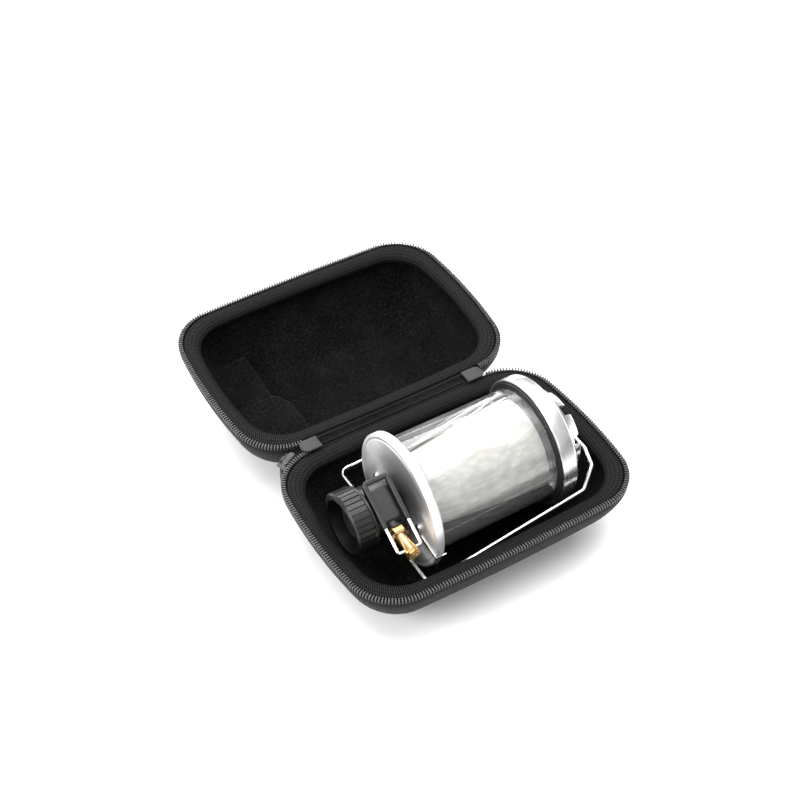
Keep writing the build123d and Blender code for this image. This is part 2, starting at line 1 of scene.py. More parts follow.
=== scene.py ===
import bpy
import math
from mathutils import Matrix, Vector


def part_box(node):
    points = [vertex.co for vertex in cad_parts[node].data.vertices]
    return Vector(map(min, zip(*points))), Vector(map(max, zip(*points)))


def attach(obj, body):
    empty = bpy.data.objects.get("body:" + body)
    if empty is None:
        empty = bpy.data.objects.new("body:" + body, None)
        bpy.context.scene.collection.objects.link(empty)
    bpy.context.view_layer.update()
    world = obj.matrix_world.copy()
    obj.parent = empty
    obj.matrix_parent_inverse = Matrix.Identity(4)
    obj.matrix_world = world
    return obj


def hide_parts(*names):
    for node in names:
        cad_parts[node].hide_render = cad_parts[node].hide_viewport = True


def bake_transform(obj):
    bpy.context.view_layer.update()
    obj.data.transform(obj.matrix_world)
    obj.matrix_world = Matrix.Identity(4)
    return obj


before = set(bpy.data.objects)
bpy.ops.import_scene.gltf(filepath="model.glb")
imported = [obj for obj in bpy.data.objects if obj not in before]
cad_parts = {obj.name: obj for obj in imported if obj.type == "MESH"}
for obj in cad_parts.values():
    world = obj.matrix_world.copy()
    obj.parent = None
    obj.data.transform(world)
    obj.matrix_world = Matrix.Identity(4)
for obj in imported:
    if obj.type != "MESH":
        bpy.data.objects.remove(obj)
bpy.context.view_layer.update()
mm = 0.001

# A small gas lantern lying in its open zip case: the base half in front, the lid behind it


def lookFrom(thing, place, target):
    thing.location = place
    thing.rotation_euler = (Vector(target) - Vector(place)).to_track_quat("-Z", "Y").to_euler()


cameraSet = {"target": (0.0043, 0.0030, 0.0370), "azimuth": -31.59, "elevation": 44.85,
             "distance": 0.777, "lens": 71.74, "sensor": 36.0}


def addCamera():
    turn = math.radians(cameraSet["azimuth"])
    rise = math.radians(cameraSet["elevation"])
    away = Vector((math.sin(turn) * math.cos(rise), -math.cos(turn) * math.cos(rise), math.sin(rise)))
    lens = bpy.data.cameras.new("camera")
    lens.lens = cameraSet["lens"]
    lens.sensor_width = cameraSet["sensor"]
    camera = bpy.data.objects.new("camera", lens)
    bpy.context.collection.objects.link(camera)
    lookFrom(camera, Vector(cameraSet["target"]) + away * cameraSet["distance"], cameraSet["target"])
    bpy.context.scene.camera = camera


# name: place, width, height, watts, all soft boxes that face the middle of the object
softBoxes = {
    "overhead": ((0.05, 0.05, 0.95), 0.9, 0.9, 12.0),
    "leftBox": ((-0.85, -0.15, 0.60), 0.5, 0.5, 8.0),
    "rightBox": ((0.75, 0.30, 0.60), 0.5, 0.5, 3.0),
    "frontBox": ((-0.15, -0.95, 0.55), 0.7, 0.4, 1.5),
    "backBox": ((0.05, 0.85, 0.55), 0.9, 0.4, 8.0),
}


sky = {"low": 0.3, "high": 0.85, "lowHeight": 0.05, "highHeight": 0.75}  # strength, and sine of the height


def addLights():
    for name, (place, width, height, watts) in softBoxes.items():
        light = bpy.data.lights.new(name, "AREA")
        light.shape = "RECTANGLE"
        light.size = width
        light.size_y = height
        light.energy = watts
        lamp = bpy.data.objects.new(name, light)
        bpy.context.collection.objects.link(lamp)
        lookFrom(lamp, place, (0.0, 0.0, 0.03))
    world = bpy.data.worlds.new("paleStudio")
    world.use_nodes = True
    # paler towards the zenith, so that bent metal shows bands
    way = addNode(world, "ShaderNodeTexCoord")
    height = addNode(world, "ShaderNodeSeparateXYZ", links={"Vector": way.outputs["Generated"]})
    glow = addNode(world, "ShaderNodeMapRange",
                   {"From Min": sky["lowHeight"], "From Max": sky["highHeight"],
                    "To Min": sky["low"], "To Max": sky["high"]}, {"Value": height.outputs["Z"]})
    background = world.node_tree.nodes["Background"]
    background.inputs["Color"].default_value = (1.0, 1.0, 1.0, 1.0)
    world.node_tree.links.new(glow.outputs["Result"], background.inputs["Strength"])
    bpy.context.scene.world = world
    bpy.context.scene.view_settings.view_transform = "Standard"


# sRGB hex to the linear values that a shader takes
def hexToLinear(code):
    parts = [int(code[i:i + 2], 16) / 255 for i in (1, 3, 5)]
    return tuple(p / 12.92 if p <= 0.04045 else ((p + 0.055) / 1.055) ** 2.4 for p in parts) + (1.0,)


def addNode(material, kind, settings=None, links=None):
    node = material.node_tree.nodes.new(kind)
    for key, value in (settings or {}).items():
        if isinstance(key, int) or key in node.inputs:
            node.inputs[key].default_value = value
        else:
            setattr(node, key, value)
    for key, source in (links or {}).items():
        material.node_tree.links.new(source, node.inputs[key])
    return node


def newMaterial(name, **shaderSettings):
    material = bpy.data.materials.new(name)
    material.use_nodes = True
    shader = material.node_tree.nodes["Principled BSDF"]
    for key, value in shaderSettings.items():
        shader.inputs[key.replace("_", " ")].default_value = value
    return material, shader


def colourBetween(material, factor, low, high, fromMin=0.3, fromMax=0.7):
    ramp = addNode(material, "ShaderNodeValToRGB", links={"Fac": factor})
    ramp.color_ramp.elements[0].position = fromMin
    ramp.color_ramp.elements[1].position = fromMax
    ramp.color_ramp.elements[0].color = hexToLinear(low)
    ramp.color_ramp.elements[1].color = hexToLinear(high)
    return ramp.outputs["Color"]


def roughBetween(material, shader, factor, low, high):
    spread = addNode(material, "ShaderNodeMapRange", {"To Min": low, "To Max": high}, {"Value": factor})
    material.node_tree.links.new(spread.outputs["Result"], shader.inputs["Roughness"])


def bumpFrom(material, shader, height, depth, strength=1.0, under=None):
    links = {"Height": height}
    if under:
        links["Normal"] = under.outputs["Normal"]
    bump = addNode(material, "ShaderNodeBump", {"Distance": depth * mm, "Strength": strength}, links)
    material.node_tree.links.new(bump.outputs["Normal"], shader.inputs["Normal"])
    return bump


def noiseOf(material, spacing, detail=2.0, coordinates=None):
    # spacing is the size of one grain in millimetres
    where = coordinates or addNode(material, "ShaderNodeTexCoord").outputs["Object"]
    settings = {"Scale": 1 / (spacing * mm), "Detail": detail}
    return addNode(material, "ShaderNodeTexNoise", settings, {"Vector": where}).outputs["Fac"]


def caseFabric():
    # polyester cloth heat-pressed over foam: a dull dark grey, a soft broad highlight, a fine pebbled grain
    material, shader = newMaterial("pressedPolyesterCloth", Roughness=0.62, IOR=1.4, Sheen_Weight=0.02,
                                   Sheen_Roughness=0.4, Specular_IOR_Level=0.17)
    grain = noiseOf(material, 0.9, 3.0)
    broad = noiseOf(material, 14.0, 2.0)
    mixed = addNode(material, "ShaderNodeMath", {"operation": "MULTIPLY"}, {0: grain, 1: broad})
    colour = colourBetween(material, mixed.outputs["Value"], "#050506", "#111112", 0.12, 0.42)
    material.node_tree.links.new(colour, shader.inputs["Base Color"])
    roughBetween(material, shader, grain, 0.55, 0.72)
    weave = addNode(material, "ShaderNodeTexVoronoi", {"Scale": 1 / (0.8 * mm)},
                    {"Vector": addNode(material, "ShaderNodeTexCoord").outputs["Object"]})
    under = bumpFrom(material, shader, weave.outputs["Distance"], 0.10, 0.5)
    bumpFrom(material, shader, grain, 0.16, 0.6, under)
    return material


def velourLining():
    # brushed velour: swallows the light, nearly black, with a faint mottle where the nap lies either way
    material, shader = newMaterial("brushedVelour", Roughness=0.95, IOR=1.4, Sheen_Weight=0.05,
                                   Sheen_Roughness=0.5, Specular_IOR_Level=0.08)
    nap = noiseOf(material, 0.9, 4.0)
    patches = noiseOf(material, 14.0, 2.0)
    mixed = addNode(material, "ShaderNodeMath", {"operation": "MULTIPLY_ADD", 1: 0.25},
                    {0: patches, 2: nap})
    colour = colourBetween(material, mixed.outputs["Value"], "#010101", "#171718", 0.55, 0.82)
    material.node_tree.links.new(colour, shader.inputs["Base Color"])
    bumpFrom(material, shader, nap, 0.35, 0.8)
    return material


tapeWeave = {"rib": 1.0, "cross": 1.7}  # ribs over the band, millimetres; the real ribs are a little finer


def ribbedTape():
    # woven nylon binding: fine raised ribs over the band; each rib top is painted lighter and each groove
    # darker, a painted highlight and painted shade on top of the bump
    material, shader = newMaterial("wovenNylonBinding", Roughness=0.6, IOR=1.5, Specular_IOR_Level=0.05)
    where = addNode(material, "ShaderNodeUVMap", {"uv_map": "tape"}).outputs["UV"]
    split = addNode(material, "ShaderNodeSeparateXYZ", links={"Vector": where})
    along = addNode(material, "ShaderNodeMath",
                    {"operation": "MULTIPLY", 1: 2 * math.pi / (tapeWeave["rib"] * mm)},
                    {0: split.outputs["X"]})
    across = addNode(material, "ShaderNodeMath",
                     {"operation": "MULTIPLY", 1: 2 * math.pi / (tapeWeave["cross"] * mm)},
                     {0: split.outputs["Y"]})
    lean = addNode(material, "ShaderNodeMath", {"operation": "MULTIPLY_ADD", 1: 0.7},
                   {0: across.outputs[0], 2: along.outputs[0]})
    ribs = addNode(material, "ShaderNodeMath", {"operation": "SINE"}, {0: lean.outputs[0]})
    knots = addNode(material, "ShaderNodeMath", {"operation": "SINE"}, {0: across.outputs[0]})
    height = addNode(material, "ShaderNodeMath", {"operation": "MULTIPLY_ADD", 1: 0.35},
                     {0: knots.outputs[0], 2: ribs.outputs[0]})
    level = addNode(material, "ShaderNodeMapRange", {"From Min": -1.35, "From Max": 1.35},
                    {"Value": height.outputs[0]})
    # painted highlight on the rib tops and painted shade in the grooves, from the rib height
    colour = colourBetween(material, level.outputs["Result"], "#010101", "#2c2c2d", 0.35, 0.95)
    material.node_tree.links.new(colour, shader.inputs["Base Color"])
    bumpFrom(material, shader, level.outputs["Result"], 0.22, 0.9)
    return material


def zipNylon():
    # moulded nylon teeth: smooth, so each tooth shows one small highlight
    material, shader = newMaterial("mouldedNylonTeeth", Roughness=0.32, IOR=1.53)
    shade = noiseOf(material, 2.4, 1.0)
    colour = colourBetween(material, shade, "#1c1c1e", "#363638")
    material.node_tree.links.new(colour, shader.inputs["Base Color"])
    roughBetween(material, shader, shade, 0.26, 0.4)
    return material


def hingeTab():
    # soft moulded rubber: an even mid grey with a powdery bloom
    material, shader = newMaterial("mouldedRubberTab", Roughness=0.6, IOR=1.5)
    bloom = noiseOf(material, 1.6, 4.0)
    colour = colourBetween(material, bloom, "#19191a", "#212122")
    material.node_tree.links.new(colour, shader.inputs["Base Color"])
    bumpFrom(material, shader, bloom, 0.05, 0.5)
    return material


def mouldedPlastic(name, low, high, rough, grit=0.5):
    # glass-filled nylon from a spark-eroded mould: a fine even grit that spreads each highlight
    material, shader = newMaterial(name, Roughness=rough, IOR=1.53)
    grain = noiseOf(material, grit, 3.0)
    wear = noiseOf(material, 7.0, 3.0)
    colour = colourBetween(material, wear, low, high)
    material.node_tree.links.new(colour, shader.inputs["Base Color"])
    roughBetween(material, shader, grain, rough - 0.07, rough + 0.1)
    bumpFrom(material, shader, grain, 0.05, 0.5)
    return material


def turnedMetal(name, colour, dark, rough, line=0.5, depth=0.01, metallic=1.0, brushed=0.0):
    # metal turned or spun on a lathe: fine rings about the lantern's axis break its reflections into bands
    material, shader = newMaterial(name, Metallic=metallic, Roughness=rough, Anisotropic=brushed)
    if brushed:
        around = addNode(material, "ShaderNodeTangent", {"direction_type": "RADIAL", "axis": "X"})
        material.node_tree.links.new(around.outputs["Tangent"], shader.inputs["Tangent"])
    where = addNode(material, "ShaderNodeTexCoord").outputs["Object"]
    rings = addNode(material, "ShaderNodeMapping", {"Scale": (1.0, 0.02, 0.02)}, {"Vector": where})
    lines = noiseOf(material, line, 3.0, rings.outputs["Vector"])
    cloud = noiseOf(material, 9.0, 2.0)
    tone = colourBetween(material, cloud, dark, colour, 0.3, 0.6)
    material.node_tree.links.new(tone, shader.inputs["Base Color"])
    roughBetween(material, shader, lines, rough * 0.75, rough * 1.3)
    bumpFrom(material, shader, lines, depth, 0.5)
    return material


def clearGlass():
    # drawn borosilicate tube: clear, with faint draw lines along it
    material, shader = newMaterial("drawnBorosilicateGlass", Roughness=0.0, IOR=1.47,
                                   Transmission_Weight=0.94)
    where = addNode(material, "ShaderNodeTexCoord").outputs["Object"]
    drawn = addNode(material, "ShaderNodeMapping", {"Scale": (0.02, 1.0, 1.0)}, {"Vector": where})
    waves = noiseOf(material, 6.0, 1.0, drawn.outputs["Vector"])
    tint = colourBetween(material, waves, "#f4f6f5", "#fdfefd")
    material.node_tree.links.new(tint, shader.inputs["Base Color"])
    return material


def whiteFoam():
    # expanded polyethylene: matt white, with soft closed cells and slanting dimples pressed by the winding
    material, shader = newMaterial("expandedPolyethylene", Roughness=0.7, IOR=1.4, Subsurface_Weight=0.15,
                                   Subsurface_Scale=0.002)
    where = addNode(material, "ShaderNodeTexCoord").outputs["Object"]
    slanted = addNode(material, "ShaderNodeMapping",
                      {"Scale": (0.45, 1.0, 1.0), "Rotation": (0.0, 0.5, 0.6)}, {"Vector": where})
    cells = addNode(material, "ShaderNodeTexVoronoi", {"feature": "SMOOTH_F1", "Scale": 1 / (2.1 * mm),
                                                       "Smoothness": 0.8},
                    {"Vector": slanted.outputs["Vector"]})
    fine = noiseOf(material, 0.8, 2.0)
    # painted light: the colour follows the cells, a painted highlight in each dimple and greyer painted
    # shade on the ridges between cells
    colour = colourBetween(material, cells.outputs["Distance"], "#e6e2de", "#cbc7c3", 0.15, 0.7)
    material.node_tree.links.new(colour, shader.inputs["Base Color"])
    under = bumpFrom(material, shader, cells.outputs["Distance"], 0.4, 0.4)
    bumpFrom(material, shader, fine, 0.08, 0.4, under)
    return material


def floorPaint():
    # smooth painted board, off white
    material, shader = newMaterial("paintedBoard", Roughness=0.7)
    shade = noiseOf(material, 60.0, 2.0)
    colour = colourBetween(material, shade, "#f6f6f6", "#fbfbfb")
    material.node_tree.links.new(colour, shader.inputs["Base Color"])
    return material


finishes = {
    "caseCloth": caseFabric(),
    "velour": velourLining(),
    "tape": ribbedTape(),
    "teeth": zipNylon(),
    "tab": hingeTab(),
    "sliderMetal": turnedMetal("diecastZinc", "#4e4e50", "#343436", 0.35, 1.5),
    "plastic": mouldedPlastic("mouldedNylon", "#020202", "#060607", 0.4),
    "grip": mouldedPlastic("mouldedGrip", "#040405", "#09090a", 0.36, 0.7),
    "paint": mouldedPlastic("bakedBlackPaint", "#040405", "#0a0a0c", 0.34, 0.9),
    "rubber": mouldedPlastic("nitrileRubber", "#090909", "#121212", 0.55),
    "brass": turnedMetal("turnedBrass", "#f3cf98", "#dcaa68", 0.24, 0.4),
    "burnerSteel": turnedMetal("pressedSteel", "#8f8d8a", "#6a6865", 0.35),
    "polished": turnedMetal("polishedAluminium", "#fbfbfb", "#f0f0f1", 0.42, 0.5, 0.006, 1.0, 0.6),
    "satin": turnedMetal("satinAluminium", "#e2e2e4", "#cdcdd0", 0.27, 0.6, 0.012, 1.0, 0.3),
    "wire": turnedMetal("drawnSteelWire", "#e6e6e6", "#cfcfd0", 0.14, 0.8, 0.004),
    "glass": clearGlass(),
    "foam": whiteFoam(),
}
print("materials ready")

nodeFinish = {
    "zip_slider": "sliderMetal", "zip_pull": "plastic", "collar": "plastic", "thread_insert": "burnerSteel",
    "inlet_seal": "rubber", "inlet_pin": "wire", "valve_body": "paint", "packing_nut": "brass",
    "valve_spindle": "brass", "burner_neck": "paint", "gas_jet": "brass", "mixing_tube": "burnerSteel",
    "burner_head": "burnerSteel", "plate_rivets": "satin", "plate_clip": "wire", "hood_baffle": "satin",
    "stay_rods": "wire", "mantle_rod": "wire", "handle_wire": "wire", "handle_grip": "grip",
    "bail_wire": "wire",
}
for nodeName, finish in nodeFinish.items():
    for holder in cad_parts[nodeName].material_slots:
        holder.material = finishes[finish]


# modelling helpers
mergeWithin = {"rings": 0.002, "turned": 0.004, "pad": 0.005}  # vertices this close become one, millimetres


def deselectAll():
    if bpy.context.mode != "OBJECT":
        bpy.ops.object.mode_set(mode="OBJECT")
    bpy.ops.object.select_all(action="DESELECT")


def editOn(piece, kind="VERT"):
    deselectAll()
    piece.select_set(True)
    bpy.context.view_layer.objects.active = piece
    bpy.ops.object.mode_set(mode="EDIT")
    bpy.ops.mesh.select_mode(type=kind)


def startLoop(name, points):
    # a closed loop of vertices on the given points
    deselectAll()
    bpy.ops.mesh.primitive_circle_add(vertices=len(points), radius=mm, fill_type="NOTHING")
    piece = bpy.context.object
    piece.name = name
    for vertex, point in zip(piece.data.vertices, points):
        vertex.co = point
    return piece


def layRings(name, rings, closed=False):
    # each ring lists the same number of points; the loop is extruded from one to the next
    piece = startLoop(name, rings[0])
    tags = {i: (i, 0) for i in range(len(rings[0]))}  # vertex: its step round the ring, its ring
    spots = {tuple(v.co): i for i, v in enumerate(piece.data.vertices)}
    for number, ring in enumerate(rings[1:], 1):
        editOn(piece, "EDGE")
        if number == 1:
            bpy.ops.mesh.select_all(action="SELECT")
        bpy.ops.mesh.extrude_region()
        bpy.ops.object.mode_set(mode="OBJECT")
        grown = [(v, spots[tuple(v.co)]) for v in piece.data.vertices if v.select]
        for vertex, step in grown:
            vertex.co = ring[step]
            tags[vertex.index] = (step, number)
        spots = {tuple(v.co): step for v, step in grown}
    for tag, which in (("step", 0), ("ring", 1)):
        layer = piece.data.attributes.new(tag, "INT", "POINT")
        for index, pair in tags.items():
            layer.data[index].value = pair[which]
    editOn(piece)
    bpy.ops.mesh.select_all(action="SELECT")
    bpy.ops.mesh.remove_doubles(threshold=mergeWithin["rings"] * mm)
    if not closed:
        bpy.ops.mesh.fill_holes(sides=0)
    bpy.ops.mesh.select_all(action="SELECT")
    bpy.ops.mesh.normals_make_consistent(inside=False)
    bpy.ops.object.mode_set(mode="OBJECT")
    return piece


def finishPiece(piece, body, finish, stands=(), smooth=35):
    deselectAll()
    piece.select_set(True)
    bpy.context.view_layer.objects.active = piece
    bpy.ops.object.transform_apply(location=True, rotation=True, scale=True)
    bpy.ops.object.shade_smooth_by_angle(angle=math.radians(smooth))
    piece.data.materials.clear()
    piece.data.materials.append(finishes[finish])
    if body:
        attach(piece, body)
    if stands:
        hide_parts(*stands)
    return piece


# the case
caseShape = {"length": 142.0, "width": 100.0, "endBow": 4.7, "sideBow": 1.5, "corner": 23.4,
             "cornerShrink": 0.45, "lip": 4.0, "floorInset": 31.0, "fullness": 1.587, "halfPitch": 53.5,
             "hingeRise": 0.3, "lidTilt": 3.6, "shellTop": 2.2}
halfCase = {
    "base": {"depth": 37.0, "shell": 3.5, "lining": 1.4},
    "lid": {"depth": 39.1, "shell": 2.5, "lining": 0.9},
}
outlineSteps = {"end": 14, "corner": 12, "side": 18}  # faces along each stretch of a quarter outline
wallSteps = 20
liningGap = 0.1  # between shell and lining
hingeHeight = halfCase["base"]["depth"] + caseShape["hingeRise"]


def halfPlace(half):
    # matrix from a half's own frame, zip line at zero, to the model's frame
    if half == "base":
        return Matrix.Translation((0, -caseShape["halfPitch"] * mm, halfCase["base"]["depth"] * mm))
    tilt = Matrix.Rotation(math.radians(caseShape["lidTilt"]), 4, "X")
    offset = Vector((0, caseShape["halfPitch"] * mm, -caseShape["hingeRise"] * mm))
    return Matrix.Translation((0, 0, hingeHeight * mm)) @ tilt @ Matrix.Translation(offset)


def arcPoints(centre, radius, start, end, steps):
    return [(centre[0] + radius * math.cos(start + (end - start) * i / steps),
             centre[1] + radius * math.sin(start + (end - start) * i / steps)) for i in range(steps)]


def caseOutline(inset, steps=outlineSteps):
    # the zip line drawn in by an inset, in millimetres: bowed sides with a round at each corner
    halfX = caseShape["length"] / 2 - inset
    halfY = caseShape["width"] / 2 - inset
    endR = (halfY ** 2 + caseShape["endBow"] ** 2) / (2 * caseShape["endBow"])
    sideR = (halfX ** 2 + caseShape["sideBow"] ** 2) / (2 * caseShape["sideBow"])
    endMid = Vector((halfX + caseShape["endBow"] - endR, 0.0))
    sideMid = Vector((0.0, halfY + caseShape["sideBow"] - sideR))
    cornerR = caseShape["corner"] - caseShape["cornerShrink"] * inset
    apart = endMid - sideMid
    reach = ((sideR - cornerR) ** 2 - (endR - cornerR) ** 2 + apart.length_squared) / (2 * apart.length)
    rise = math.sqrt((sideR - cornerR) ** 2 - reach ** 2)
    along = apart.normalized()
    cornerMid = sideMid + along * reach + Vector((along.y, -along.x)) * rise
    fromEnd = (cornerMid - endMid).normalized()
    fromSide = (cornerMid - sideMid).normalized()
    low = math.atan2(fromEnd.y, fromEnd.x)
    high = math.atan2(fromSide.y, fromSide.x)
    quarter = arcPoints(endMid, endR, 0.0, low, steps["end"])
    quarter += arcPoints(cornerMid, cornerR, low, high, steps["corner"])
    quarter += arcPoints(sideMid, sideR, high, math.pi / 2, steps["side"])
    quarter.append((0.0, halfY + caseShape["sideBow"]))
    second = [(-x, y) for x, y in reversed(quarter[:-1])]
    upper = quarter + second
    lower = [(-x, -y) for x, y in upper[1:-1]]
    return upper + lower


def caseRing(place, inset, drop):
    return [place @ Vector((x * mm, y * mm, -drop * mm)) for x, y in caseOutline(inset)]


def wallStations(depth, wall, top):
    # (inset, drop) down the case wall's inner face, a wall's thickness in from the outer one
    stations = [(wall, top), (wall, caseShape["lip"])]
    height = depth - caseShape["lip"]
    power = caseShape["fullness"]
    inwards = caseShape["floorInset"]
    for step in range(1, wallSteps + 1):
        angle = math.pi / 2 * step / wallSteps
        inset = inwards * (1 - math.cos(angle))
        drop = caseShape["lip"] + height * math.sin(angle) ** power
        rise = height * power * math.sin(angle) ** (power - 1) * math.cos(angle)
        slope = math.atan2(inwards * math.sin(angle), rise)
        stations.append((inset + wall * math.cos(slope), drop - wall * math.sin(slope)))
    return stations


def bowlPiece(name, place, depth, outer, inner, top):
    # a thin bowl between two offsets of the wall, open at the zip line
    outside = wallStations(depth, outer, top)
    inside = wallStations(depth, inner, top)
    stations = list(reversed(inside)) + outside
    return layRings(name, [caseRing(place, inset, drop) for inset, drop in stations])


def buildShells():
    for half, size in halfCase.items():
        place = halfPlace(half)
        shell = bowlPiece(half + "Shell", place, size["depth"], 0.0, size["shell"], caseShape["shellTop"])
        finishPiece(shell, "case_" + half, "caseCloth", (half + "_shell",))
        start = size["shell"] + liningGap
        lining = bowlPiece(half + "Lining", place, size["depth"], start, start + size["lining"],
                           caseShape["shellTop"])
        finishPiece(lining, "case_" + half, "velour", (half + "_lining",), 60)
        print("shell and lining of the", half)


# (inset, drop) round the binding's section: a soft roll from the teeth down over the lining's edge
bindingSection = [(1.9, 2.2), (1.9, 1.5), (2.1, 0.95), (2.7, 0.6), (3.6, 0.42), (4.8, 0.45), (6.0, 0.68),
                  (7.2, 1.12), (8.2, 1.8), (8.9, 2.7), (9.2, 3.7), (9.0, 4.6), (7.6, 4.9), (5.2, 4.6)]
bindingMiddle = 5.4  # inset of the line that the ribs are counted along


def buildBindings():
    for half in halfCase:
        place = halfPlace(half)
        rings = [caseRing(place, inset, drop) for inset, drop in bindingSection]
        binding = layRings(half + "Binding", rings + rings[:1], closed=True)
        paintAlong(binding, runningLengths(caseOutline(bindingMiddle)), runningLengths(bindingSection))
        finishPiece(binding, "case_" + half, "tape", (half + "_rim_tape",), 60)
        print("rim binding of the", half)


def runningLengths(points):
    lengths = [0.0]
    for here, there in zip(points, points[1:] + points[:1]):
        lengths.append(lengths[-1] + math.dist(here, there))
    return lengths


def paintAlong(piece, along, across):
    # a UV map in metres, along the rim and across the band, from each vertex's step and ring
    layer = piece.data.uv_layers.new(name="tape")
    tags = [[value.value for value in piece.data.attributes[tag].data] for tag in ("step", "ring")]
    for face in piece.data.polygons:
        places = []
        for tag, lengths in zip(tags, (along, across)):
            found = [tag[i] for i in face.vertices]
            wraps = max(found) - min(found) > 1
            places.append([lengths[-1] if wraps and f == 0 else lengths[f] for f in found])
        for corner, u, v in zip(face.loop_indices, *places):
            layer.data[corner].uv = (u * mm, v * mm)


# one tooth, millimetres: along the zip, across it, its height; the cord it is sewn to runs under the row
tooth = {"pitch": 1.45, "along": 0.72, "across": 2.3, "high": 1.8, "bevel": 0.2, "middle": 0.75,
         "sink": 0.05, "cordOuter": 0.0, "cordInner": 1.6, "cordTop": 1.25, "cordFoot": 2.3,
         "cordRound": 0.3, "gap": 50.0}


def rimWalk(inset, half):
    # (point, direction) at each tooth round the open part of the rim
    fine = caseOutline(inset, {"end": 60, "corner": 50, "side": 70})
    lengths = runningLengths(fine)
    count = round(lengths[-1] / tooth["pitch"])
    hingeSide = 1 if half == "base" else -1
    walk = []
    step = 0
    for number in range(count):
        wanted = lengths[-1] * number / count
        while lengths[step + 1] < wanted:
            step += 1
        here = Vector(fine[step])
        there = Vector(fine[(step + 1) % len(fine)])
        share = (wanted - lengths[step]) / (lengths[step + 1] - lengths[step])
        spot = here.lerp(there, share)
        if spot.y * hingeSide > 0 and abs(spot.x) < tooth["gap"]:
            continue
        walk.append((spot, there - here))
    return walk


def makeTooth():
    deselectAll()
    bpy.ops.mesh.primitive_cube_add(size=1.0)
    piece = bpy.context.object
    bpy.ops.transform.resize(value=(tooth["along"] * mm, tooth["across"] * mm, tooth["high"] * mm))
    bpy.ops.object.transform_apply(location=False, rotation=False, scale=True)
    editOn(piece)
    bpy.ops.mesh.select_all(action="SELECT")
    bpy.ops.mesh.bevel(offset=tooth["bevel"] * mm, segments=2, profile=0.6)
    bpy.ops.object.mode_set(mode="OBJECT")
    return piece


def buildTeeth():
    pattern = makeTooth()
    for half in halfCase:
        place = halfPlace(half)
        copies = []
        for spot, way in rimWalk(tooth["middle"], half):
            copy = bpy.data.objects.new("tooth", pattern.data.copy())
            bpy.context.collection.objects.link(copy)
            turn = Matrix.Rotation(math.atan2(way.y, way.x), 4, "Z")
            drop = -(tooth["high"] / 2 + tooth["sink"]) * mm
            copy.data.transform(place @ Matrix.Translation((spot.x * mm, spot.y * mm, drop)) @ turn)
            copies.append(copy)
        deselectAll()
        for copy in copies:
            copy.select_set(True)
        bpy.context.view_layer.objects.active = copies[0]
        bpy.ops.object.join()
        row = copies[0]
        row.name = half + "ZipTeeth"
        finishPiece(row, "case_" + half, "teeth", (half + "_zip_teeth",))
        outer, inner, soft = tooth["cordOuter"], tooth["cordInner"], tooth["cordRound"]
        top, foot = tooth["cordTop"], tooth["cordFoot"]
        section = ((outer, foot), (outer, top + soft), (outer + soft, top), (inner - soft, top),
                   (inner, top + soft), (inner, foot))
        cordRings = [caseRing(place, inset, drop) for inset, drop in section]
        cord = layRings(half + "ZipTape", cordRings + cordRings[:1], closed=True)
        finishPiece(cord, "case_" + half, "caseCloth", (), 50)
        print(len(copies), "teeth on the", half)
    bpy.data.objects.remove(pattern)


pad = {"voxel": 0.9, "smooth": 8}  # the moulding's soft edges, millimetres and smoothing turns


def buildPad():
    deselectAll()
    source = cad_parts["lid_pad"]
    piece = bpy.data.objects.new("lidPad", source.data.copy())
    bpy.context.collection.objects.link(piece)
    piece.data.transform(source.matrix_world)
    editOn(piece)
    bpy.ops.mesh.select_all(action="SELECT")
    bpy.ops.mesh.remove_doubles(threshold=mergeWithin["pad"] * mm)
    bpy.ops.object.mode_set(mode="OBJECT")
    piece.data.remesh_voxel_size = pad["voxel"] * mm
    bpy.ops.object.voxel_remesh()
    soften = piece.modifiers.new("soften", "SMOOTH")
    soften.factor = 0.5
    soften.iterations = pad["smooth"]
    bpy.ops.object.modifier_apply(modifier="soften")
    finishPiece(piece, "case_lid", "velour", ("lid_pad",), 180)
    print("pad in the lid")


# millimetres; the cloth laps a little way under each rim, and ripples are waves over its whole length
hingeCloth = {"columns": 84, "rows": 12, "thick": 0.5, "sag": 0.5, "lap": 1.2, "ripple": 0.08, "waves": 90}
hingeTabs = {"left": -1, "right": 1}
tabShape = {"bevel": 0.35, "cuts": 9, "roundSteps": 12, "roundPart": 0.75}


def buildHinge():
    low, high = (Vector(corner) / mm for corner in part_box("hinge_strip"))
    deselectAll()
    bpy.ops.mesh.primitive_grid_add(x_subdivisions=hingeCloth["columns"], y_subdivisions=hingeCloth["rows"],
                                    size=1.0)
    strip = bpy.context.object
    strip.name = "hingeCloth"
    wide = high.y - low.y + hingeCloth["lap"]
    for vertex in strip.data.vertices:
        dip = hingeCloth["sag"] * math.cos(vertex.co.y * math.pi)
        ripple = hingeCloth["ripple"] * math.sin(vertex.co.x * hingeCloth["waves"])
        ripple *= math.cos(vertex.co.y * math.pi)
        vertex.co = Vector((vertex.co.x * (high.x - low.x), vertex.co.y * (wide),
                            high.z - dip + ripple)) * mm
    wall = strip.modifiers.new("wall", "SOLIDIFY")
    wall.thickness = hingeCloth["thick"] * mm
    wall.offset = -1
    bpy.ops.object.modifier_apply(modifier="wall")
    finishPiece(strip, None, "velour", ("hinge_strip",), 60)
    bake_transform(strip)
    for side, heading in hingeTabs.items():
        buildTab(side, heading)
    print("hinge cloth and tabs")


